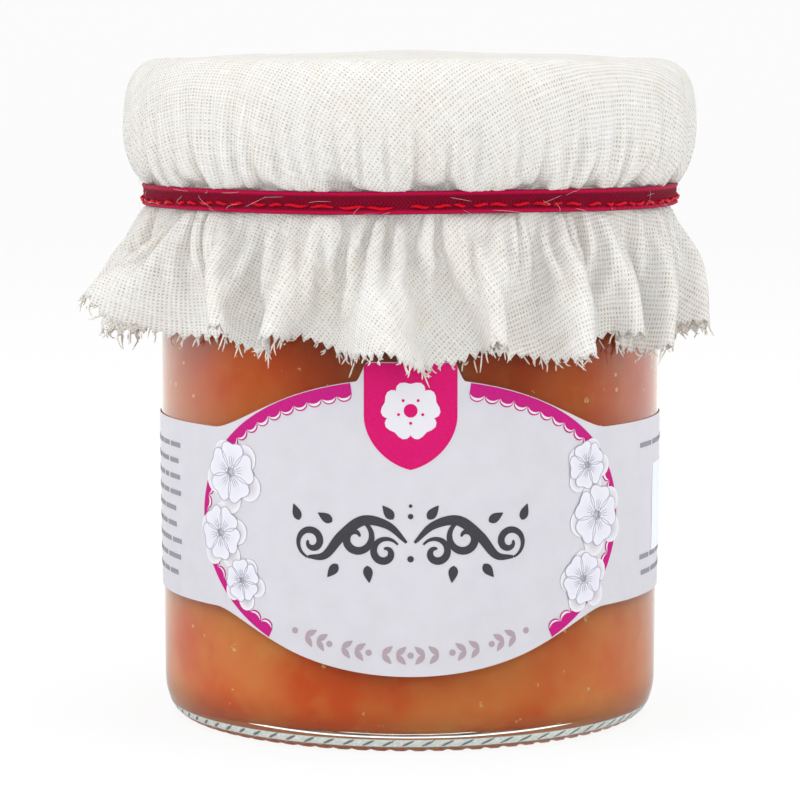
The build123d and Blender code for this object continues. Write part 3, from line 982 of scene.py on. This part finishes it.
def drape(passes):
    """The round of cloth as it hangs: (points, flat places), ring by ring."""
    angle = np.arange(turns) * 2 * math.pi / turns
    path = mean_path()
    run = np.concatenate([[0], np.cumsum(np.hypot(*np.diff(path, axis=0).T))])
    band_top_at, band_foot_at = run[-2], run[-1]
    # the weave stretches on the bias, which faces the front, both sides and the back
    bias = 0.5 + 0.5 * np.cos(4 * angle)
    # the cut edge isn't a true circle
    cut = disc_radius + 1.5 * wave(2, 6, angle) + 1.9 * wave(8, 17, angle)
    share = np.linspace(0, 1, rings_free)
    at = inner_ring + (disc_radius - inner_ring) * share
    below = np.clip(at - band_foot_at, 0, None)
    hang = below / below.max()
    flat_r = at[:, None] + hang[:, None] * (cut - disc_radius)[None, :]
    flat = np.stack([flat_r * np.sin(angle), -flat_r * np.cos(angle)], -1)

    mean_r = np.interp(at, run, path[:, 0])
    mean_z = np.interp(at, run, path[:, 1])
    lean = 2.2 * np.sin(angle + math.pi)
    flare = np.interp(below, [0, 6, 14, 24], [0, 1.9, 3.6, 4.4])
    mean_r = mean_r[:, None] + flare[:, None] + hang[:, None] ** 1.2 * lean[None, :]
    mean_z = mean_z[:, None] - 0.9 * below[:, None] + 0 * angle[None, :]

    band_at = (band_top_at + band_foot_at) / 2
    near_band = np.exp(-(np.abs(at - band_at) / 9.0) ** 2)
    on_puff = np.clip((at - flat_radius - 1) / 8, 0, 1) * (at < band_top_at) * (1 - near_band * 0.6)
    # folds are broad in some places and narrow in others, and the skirt's slant as they fall
    uneven = angle + 0.05 * wave(2, 6, angle)
    slanted = uneven[None, :] + 0.07 * hang[:, None] * wave(3, 9, angle)[None, :]
    gathers = wave(*gather_count, uneven)
    puffs = wave(*puff_count, angle)
    flutes = np.clip(2.0 * wave(*flute_count, slanted.ravel()).reshape(slanted.shape), -1, 1)
    fold = 0.95 * near_band[:, None] * gathers + 0.7 * on_puff[:, None] * puffs
    fold = fold + (0.3 + 5.0 * hang[:, None] ** 0.8) * (below > 0)[:, None] * flutes
    radius = mean_r + fold
    points = round_jar(radius, mean_z, angle[None, :] + 0 * radius)

    rest = {}
    for key in ((0, 1), (1, 0), (1, 1), (1, -1), (0, 2), (2, 0), (0, 4)):
        rest[key] = flat_distance(flat, *key)
    # threads bunch where the elastic squeezes them, and the bias narrows as it lengthens
    squeeze = 1 - 0.32 * np.exp(-(np.abs(at - band_at) / 4.0) ** 2)
    on_side = np.clip((at - flat_radius) / 6, 0, 1)
    narrow = squeeze[:, None] * (1 - (0.05 + 0.07 * bias[None, :]) * on_side[:, None])
    for key in ((0, 1), (0, 2), (0, 4)):
        rest[key] = rest[key] * narrow
    # fine gathers bend sharply beside the elastic
    rest[(0, 2)] = rest[(0, 2)] * (1 - 0.12 * near_band[:, None])
    rest[(0, 4)] = rest[(0, 4)] * (0.8 - 0.25 * near_band[:, None])
    # the elastic pulls the side taut over the lid
    taut = 1 - 0.05 * on_side * (at < band_top_at)
    rest[(1, 0)] = rest[(1, 0)] * taut[1:, None]
    rest[(2, 0)] = rest[(2, 0)] * taut[2:, None]
    # each pleat of the skirt hangs straight along its length
    first = int(np.argmax(at > band_foot_at)) - 1
    straight = {rows: flat_distance(flat[first:], rows, 0) for rows in (5, 10, 16)}
    held = points[:2].copy()
    in_band = (at > band_top_at - 0.4) & (at < band_foot_at + 0.4)
    above = at <= band_top_at - 0.4
    band_z = np.interp(at, run, path[:, 1])
    keep_rows = 6
    aim_r = np.fft.rfft(mean_r, axis=1)[:, :keep_rows]
    aim_z = np.fft.rfft(mean_z, axis=1)[:, :1]
    crease_limit = 1.5 + 1.4 * on_side - 2.1 * near_band
    least_turn = 0.1 * 2 * math.pi / turns
    for k in range(passes):
        late = k / passes
        points[:, :, 2] -= 0.003
        relax(points, rest[(0, 1)], 0, 1, 0.34)
        relax(points, rest[(1, 0)], 1, 0, 0.34)
        relax(points, rest[(1, 1)], 1, 1, 0.08)
        relax(points, rest[(1, -1)], 1, -1, 0.08)
        relax(points, rest[(0, 2)], 0, 2, 0.07, True)
        relax(points, rest[(0, 4)], 0, 4, 0.05, True)
        relax(points, rest[(2, 0)], 2, 0, 0.09, True)
        for rows, length in straight.items():
            relax(points[first:], length, rows, 0, 0.12, True)
        radius = np.hypot(points[:, :, 0], points[:, :, 1])
        height = points[:, :, 2]
        turn = np.arctan2(points[:, :, 0], -points[:, :, 1])
        # neighbours keep their order round the jar, so folds never pass through each other
        step = (np.roll(turn, -1, axis=1) - turn + math.pi) % (2 * math.pi) - math.pi
        push = np.clip(least_turn - step, 0, None) * 0.5
        turn = turn - push + np.roll(push, 1, axis=1)
        # the mean shape follows the side view, folds are left free
        give = 0.2 if late < 0.8 else 0.08
        low_r = np.fft.rfft(radius, axis=1)[:, :keep_rows]
        low_z = np.fft.rfft(height, axis=1)[:, :1]
        fix = np.zeros((rings_free, turns // 2 + 1), complex)
        fix[:, :keep_rows] = (aim_r - low_r) * give
        radius = radius + np.fft.irfft(fix, turns, axis=1)
        fix[:, :] = 0
        fix[:, :1] = (aim_z - low_z) * give * 0.5
        height = height + np.fft.irfft(fix, turns, axis=1)
        # pulled taut, the side can't bulge far beyond its mean
        most = mean_r + crease_limit[:, None]
        radius = np.where(above[:, None] & (radius > most), most + 0.5 * (radius - most), radius)
        # lid, glass and band push back
        skin = 0.35
        over_lid = height > lid_bottom - 0.5
        corner = np.sqrt(np.clip(2.5**2 - np.clip(height - (lid_top - 2.5), 0, 2.5) ** 2, 0, None)) - 2.5
        solid = np.where(over_lid, lid_radius + skin + corner, body_radius + skin)
        on_top = (radius < lid_radius - 2.5 + skin) & (height > lid_top - 4)
        height = np.where(on_top, np.maximum(height, lid_top + 0.2), height)
        radius = np.where(on_top, radius, np.maximum(radius, solid))
        radius[in_band] = np.clip(radius[in_band], body_radius + 0.25, band_outer - 1.35)
        height[in_band] = band_z[in_band][:, None]
        points = round_jar(radius, height, turn)
        points[:2] = held
    return points, flat


def cloth_mesh(points, flat, name, finish):
    """Closes the draped sheet over the lid, gives it pinked teeth, thickness and flat coordinates."""
    angle = np.arange(turns) * 2 * math.pi / turns
    inner_at = np.array([0.0, 4, 8, 12, 16, 20, 24, 28, 31.5])
    inner_flat = np.stack([inner_at[:, None] * np.sin(angle), -inner_at[:, None] * np.cos(angle)], -1)
    ripple = np.cos(inner_flat[..., 0] / 4.5 + 0.05 * inner_flat[..., 1]) * np.cos(inner_flat[..., 1] / 7)
    inwards = np.clip(1 - (inner_at / inner_ring) ** 2, 0, 1)[:, None]
    height = points[0, :, 2].mean() + cloth_dome * inwards + 0.25 * ripple * inwards**0.5
    inner_points = np.concatenate([inner_flat, height[..., None]], -1)
    # pinking: each second point of the hem stands out, with uneven cuts
    outward = points[-1] - points[-2]
    outward /= np.linalg.norm(outward, axis=1)[:, None]
    flat_out = flat[-1] / np.linalg.norm(flat[-1], axis=1)[:, None]
    tooth = 1.1 * (np.arange(turns) % 2) + 0.5 * rng.random(turns) + 0.4 * wave(30, 80, angle)
    tip_points = points[-1] + outward * tooth[:, None]
    tip_flat = flat[-1] + flat_out * tooth[:, None]
    all_points = np.concatenate([inner_points, points, tip_points[None]])
    all_flat = np.concatenate([inner_flat, flat, tip_flat[None]])
    rows = all_points.shape[0]
    mesh = bpy.data.meshes.new(name)
    quads = grid_faces(rows, turns, wrap_columns=True)
    mesh.from_pydata((all_points.reshape(-1, 3) * MM).tolist(), [], quads.tolist())
    uv = mesh.uv_layers.new(name="flat_cloth")
    corner_vertex = np.empty(len(mesh.loops), dtype=np.int64)
    mesh.loops.foreach_get("vertex_index", corner_vertex)
    turned = np.array([[1, -1], [1, 1]]) / math.sqrt(2)
    places = all_flat.reshape(-1, 2) @ turned.T * 0.01
    uv.data.foreach_set("uv", places[corner_vertex].ravel())
    shape = bmesh.new()
    shape.from_mesh(mesh)
    bmesh.ops.remove_doubles(shape, verts=shape.verts, dist=1e-7)
    bmesh.ops.recalc_face_normals(shape, faces=shape.faces)
    shape.to_mesh(mesh)
    shape.free()
    made = bpy.data.objects.new(name, mesh)
    bpy.context.scene.collection.objects.link(made)
    thick = made.modifiers.new("thickness", "SOLIDIFY")
    thick.thickness = cloth_thick * MM
    thick.offset = 0.0
    bpy.context.view_layer.update()
    solid = bpy.data.meshes.new_from_object(made.evaluated_get(bpy.context.evaluated_depsgraph_get()))
    made.modifiers.clear()
    made.data = solid
    solid.name = name
    solid.materials.clear()
    solid.materials.append(finish)
    solid.shade_smooth()
    return made, tip_points, outward


def make_cloth(finish, yarn):
    passes = 700
    points, flat = drape(passes)
    made, tips, outward = cloth_mesh(points, flat, "muslin_cover", finish)
    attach(made, "root")
    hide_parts("cloth_cover")
    threads = []
    for k in range(turns):
        for _ in range(rng.integers(2, 5) if k % 2 else rng.integers(0, 3)):
            length = 0.4 + 1.5 * rng.random() ** 2.5
            way = outward[k] + 0.24 * rng.normal(size=3)
            way /= np.linalg.norm(way)
            bend = 0.4 * rng.normal(size=3)
            start = tips[k] + (tips[(k + 1) % turns] - tips[k]) * (rng.random() - 0.5) - outward[k] * 0.5
            t = np.linspace(0, 1, 5)[:, None]
            threads.append(start + way * length * t + bend * length * t * t)
    fringe = tubes("frayed_threads", threads, 0.14, yarn, 3)


# ---------------------------------------------------------------- band

braid_pitch = 0.62


def make_band(finish, thread, fluff):
    """Flat elastic: a smooth rim at each edge and two rows of braid dished between them."""
    inner = band_outer - 1.15
    levels = np.linspace(0, band_high - band_low, 21)
    across = levels / levels[-1]
    rim = np.exp(-((across - 0.1) / 0.1) ** 2) + np.exp(-((across - 0.9) / 0.1) ** 2)
    outer = band_outer - 0.34 + 0.30 * np.clip(rim, 0, 1) - 0.25 * (np.abs(across - 0.5) > 0.49)
    profile = [(inner, band_low + 0.15)] + [(r, band_low + h) for r, h in zip(outer, levels)]
    profile += [(inner, band_high - 0.15)]
    # painted shade: fade is low in the dish and high on the raised rims
    fade = np.concatenate([[0.6], np.clip(rim * 1.15 - 0.1, 0, 1), [0.6]])
    sectors = 2592
    stitch = 2 * math.pi * band_outer / braid_pitch

    def braid(radius, height, angle):
        row = (height - band_low) / (band_high - band_low)
        dish = np.clip(1 - np.abs(row - 0.5) / 0.3, 0, 1) ** 0.5
        phase = angle * round(stitch) + 5.5 * np.abs(row - 0.5) * 2 * math.pi
        knots = 0.5 + 0.5 * np.cos(phase)
        crease = np.exp(-((row - 0.52) / 0.035) ** 2)
        outside = radius > inner + 0.2
        bump = 0.16 * knots * dish - 0.14 * crease + 0.03 * np.cos(phase * 0.5) * (1 - dish)
        sway = 0.12 * np.sin(2 * angle + 0.7) + 0.07 * np.sin(5 * angle)
        return radius + bump * outside, height + sway

    # painted shade and light: lighter on the braid's knots, darker between them in the dish
    def tone(radius, height, angle):
        row = (height - band_low) / (band_high - band_low)
        dish = np.clip(1 - np.abs(row - 0.5) / 0.3, 0, 1) ** 0.5
        knots = 0.5 + 0.5 * np.cos(angle * round(stitch) + 5.5 * np.abs(row - 0.5) * 2 * math.pi)
        return np.clip(fade[:, None] + (0.85 * knots - 0.15) * dish * 0.75, 0, 1)

    made = lathe("elastic_braid", profile, sectors, finish, braid, ring=True, fade=tone)
    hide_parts("elastic_band")
    dashes, at = [], 0.0
    while at < 2 * math.pi * band_outer - 3:
        length = 1.6 + 2.4 * rng.random()
        t = np.linspace(0, 1, 9)
        angle = (at + length * t) / band_outer
        level = band_low + 1.15 + 0.25 * math.sin(at * 0.11) + 0.12 * np.sin(6 * t + at)
        out = band_outer - 0.16 + 0.22 * np.sin(math.pi * t) ** 0.6
        dashes.append(round_jar(out, level + 0.12 * np.sin(2 * angle + 0.7), angle))
        at += length + 0.3 + 1.5 * rng.random() ** 2
    tubes("red_stitching", dashes, 0.25, thread, 6)
    hairs = []
    for _ in range(90):
        angle = rng.random() * 2 * math.pi
        level = band_low - 0.8 + (band_high - band_low + 1.6) * rng.random()
        t = np.linspace(0, 1, 8)
        length, way = 1.5 + 4 * rng.random(), rng.normal() * 0.9
        bow = 1.2 * rng.normal()
        turn = angle + (length * math.cos(way) * t + bow * t * t) / band_outer
        out = band_outer + 0.12 + 0.5 * rng.random() * np.sin(math.pi * t)
        hairs.append(round_jar(out, level + length * 0.5 * math.sin(way) * t + 0.5 * bow * t * (1 - t), turn))
    tubes("cotton_fluff", hairs, 0.022, fluff, 3)


# ---------------------------------------------------------------- the jar

glass = flint_glass()
make_glass(glass)
make_foot_stipple(stippled_glass())
make_jam(apricot_jam())
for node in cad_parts.values():
    if node.name.startswith("lid"):
        node.data.materials.clear()
        node.data.materials.append(gold_lacquer())

paper = label_paper()
magenta = printing_ink("magenta_ink", "#B41074")
badge_ink = printing_ink("deep_magenta_ink", "#C40062")
paper_white = printing_ink("unprinted_white", "#D4D3DA")
charcoal = printing_ink("charcoal_ink", "#3A3A3E")
mauve = printing_ink("mauve_ink", "#A4949B")
petal_grey = printing_ink("petal_tint", "#B4B4C0", "#D9D9E2")
shadow_grey = printing_ink("shadow_tint", "#B4B0B6", "#DCDBE1")
line_grey = printing_ink("line_grey", "#A4A5B2")
print_grey = printing_ink("small_print_grey", "#8E8D96")
pale_blue = printing_ink("pale_blue_tint", "#E3EAF6")
make_label(paper)
make_border(magenta, paper_white)
make_badge(badge_ink, paper_white)
make_scroll(charcoal)
make_garland(mauve)
make_blossoms(petal_grey, shadow_grey, line_grey)
make_side_print(print_grey, pale_blue)
make_band(braided_elastic(), stitching_thread(), cotton_yarn())
make_cloth(muslin(), cotton_yarn())

# ---------------------------------------------------------------- stage

def white_floor():
    """Matt white sweep. It shows white to the camera but keeps the jar's shadow."""
    made, tree = material("white_sweep")
    path = add(tree, "ShaderNodeLightPath")
    seen = maths(tree, "MAXIMUM", path.outputs["Is Camera Ray"], path.outputs["Is Glossy Ray"])
    seen = maths(tree, "MAXIMUM", seen, path.outputs["Is Transmission Ray"])
    # glass mirrors a dim room in front and the brightly lit sweep behind
    place = add(tree, "ShaderNodeSeparateXYZ", {0: add(tree, "ShaderNodeNewGeometry").outputs["Position"]})
    behind = add(
        tree, "ShaderNodeMapRange",
        {"Value": place.outputs[1], "From Min": -0.1, "From Max": 0.2, "To Min": 0.2, "To Max": 1.6},
    )
    mirrored = path.outputs["Is Glossy Ray"]
    level = add(tree, "ShaderNodeMix", {0: mirrored, 2: 1.0, 3: behind.outputs[0]}).outputs[0]
    matt = add(tree, "ShaderNodeBsdfDiffuse", {"Color": linear("#F4F4F4")})
    white = add(tree, "ShaderNodeEmission", {"Color": (1, 1, 1, 1), "Strength": level})
    shader = add(
        tree, "ShaderNodeMixShader",
        {0: maths(tree, "MULTIPLY", seen, 0.88), 1: matt.outputs[0], 2: white.outputs[0]},
    )
    finish_material(tree, shader.outputs[0])
    return made


def make_floor():
    mesh = bpy.data.meshes.new("floor")
    half, back, rise = 3.0, 1.6, 2.5
    sweep = [(-3.0, 0.0), (back, 0.0)]
    bend = 0.6
    for t in np.linspace(0, math.pi / 2, 10)[1:]:
        sweep.append((back + bend * math.sin(t), bend * (1 - math.cos(t))))
    sweep.append((back + bend, rise))
    points = [(x, y, z) for y, z in sweep for x in (-half, half)]
    faces = [(2 * k, 2 * k + 1, 2 * k + 3, 2 * k + 2) for k in range(len(sweep) - 1)]
    mesh.from_pydata(points, [], faces)
    mesh.shade_smooth()
    floor = bpy.data.objects.new("floor", mesh)
    bpy.context.scene.collection.objects.link(floor)
    mesh.materials.append(white_floor())


def softbox(name, place, aim, width, height, watts, colour="#FFFFFF"):
    lamp = bpy.data.lights.new(name, "AREA")
    lamp.shape = "RECTANGLE"
    lamp.size, lamp.size_y = width, height
    lamp.energy = watts
    lamp.color = linear(colour)[:3]
    made = bpy.data.objects.new(name, lamp)
    bpy.context.scene.collection.objects.link(made)
    made.location = place
    way = np.array(aim) - np.array(place)
    made.rotation_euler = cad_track(way)


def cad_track(way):
    from mathutils import Vector
    return Vector(way).to_track_quat("-Z", "Y").to_euler()


def make_lights():
    world = bpy.data.worlds.new("studio")
    bpy.context.scene.world = world
    world.use_nodes = True
    tree = world.node_tree
    tree.nodes.clear()
    path = add(tree, "ShaderNodeLightPath")
    seen = maths(tree, "MAXIMUM", path.outputs["Is Camera Ray"], path.outputs["Is Glossy Ray"])
    seen = maths(tree, "MAXIMUM", seen, path.outputs["Is Transmission Ray"])
    soft = add(tree, "ShaderNodeBackground", {"Color": (1, 1, 1, 1), "Strength": 0.74})
    way = add(tree, "ShaderNodeTexCoord").outputs["Generated"]
    way = add(tree, "ShaderNodeSeparateXYZ", {0: way}).outputs[1]
    behind = add(
        tree, "ShaderNodeMapRange",
        {"Value": way, "From Min": -0.2, "From Max": 0.8, "To Min": 0.3, "To Max": 1.1},
    )
    level = add(tree, "ShaderNodeMix", {0: path.outputs["Is Glossy Ray"], 2: 1.0, 3: behind.outputs[0]})
    white = add(tree, "ShaderNodeBackground", {"Color": (1, 1, 1, 1), "Strength": level.outputs[0]})
    mix = add(tree, "ShaderNodeMixShader", {0: seen, 1: soft.outputs[0], 2: white.outputs[0]})
    add(tree, "ShaderNodeOutputWorld", {"Surface": mix.outputs[0]})
    centre = (0, 0, 0.055)
    softbox("left_box", (-0.95, -0.45, 0.6), centre, 0.5, 0.7, 4.2)
    softbox("right_box", (0.95, -0.4, 0.5), centre, 0.5, 0.7, 3.2)
    softbox("front_box", (0.0, -1.3, 0.22), centre, 1.0, 0.4, 3.4)
    softbox("top_box", (0.0, 0.1, 1.0), centre, 0.7, 0.7, 3.6)


def make_camera():
    data = bpy.data.cameras.new("camera")
    data.sensor_width = 36.0
    data.lens = 148.8
    data.clip_start = 0.01
    camera = bpy.data.objects.new("camera", data)
    bpy.context.scene.collection.objects.link(camera)
    camera.location = (-0.0016, -0.535, 0.1056)
    camera.rotation_euler = (math.radians(90 - 5.9), 0, 0)
    bpy.context.scene.camera = camera


make_floor()
make_lights()
make_camera()
bpy.context.scene.view_settings.view_transform = "Standard"
